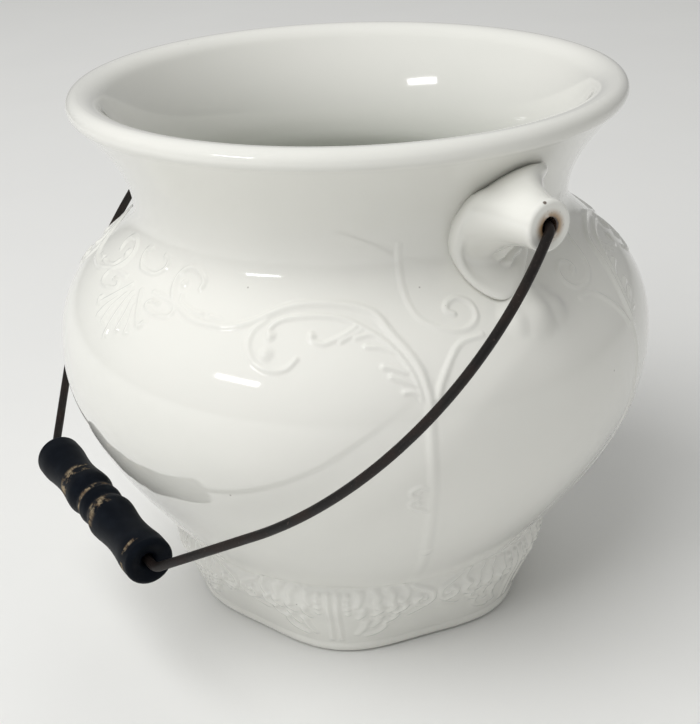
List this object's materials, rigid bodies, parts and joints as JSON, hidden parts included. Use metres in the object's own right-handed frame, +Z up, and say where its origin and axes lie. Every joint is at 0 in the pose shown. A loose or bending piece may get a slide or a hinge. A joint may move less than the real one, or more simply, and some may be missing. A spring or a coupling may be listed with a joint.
{
  "type": "slop jar",
  "caption": "Bulbous moulded white ironstone pail on a lobed foot, with a wide rolled rim, trumpet lugs and a swinging wire bail with a turned wooden grip, for carrying waste water.",
  "frame": {"origin": "on the ground under the middle of the jar", "axes": "+Z up; X along the axis of the two lugs, +X to the lug nearer the camera in the picture; -Y to the side on which the bail rests"},
  "size_m": [0.3202, 0.302, 0.267],
  "materials": {
    "ironstone": "glossy clear glaze",
    "wire": "dark rust",
    "grip_wood": "worn black paint"
  },
  "bodies": {
    "jar": {"jar_body": "ironstone", "foot": "ironstone", "lug_right": "ironstone", "lug_left": "ironstone"},
    "bail": {"bail_wire": "wire"},
    "grip": {"grip": "grip_wood"}
  },
  "joints": [
    {"name": "bail_swing", "type": "hinge", "parent": "jar", "child": "bail", "pos_m": [0, 0, 0.23322], "axis": [-1, 0, 0], "range_deg": [-5.7, 278.1]},
    {"name": "grip_spin", "type": "hinge", "parent": "bail", "child": "grip", "pos_m": [0, -0.14474, 0.08212], "axis": [1, 0, 0], "continuous": true}
  ]
}
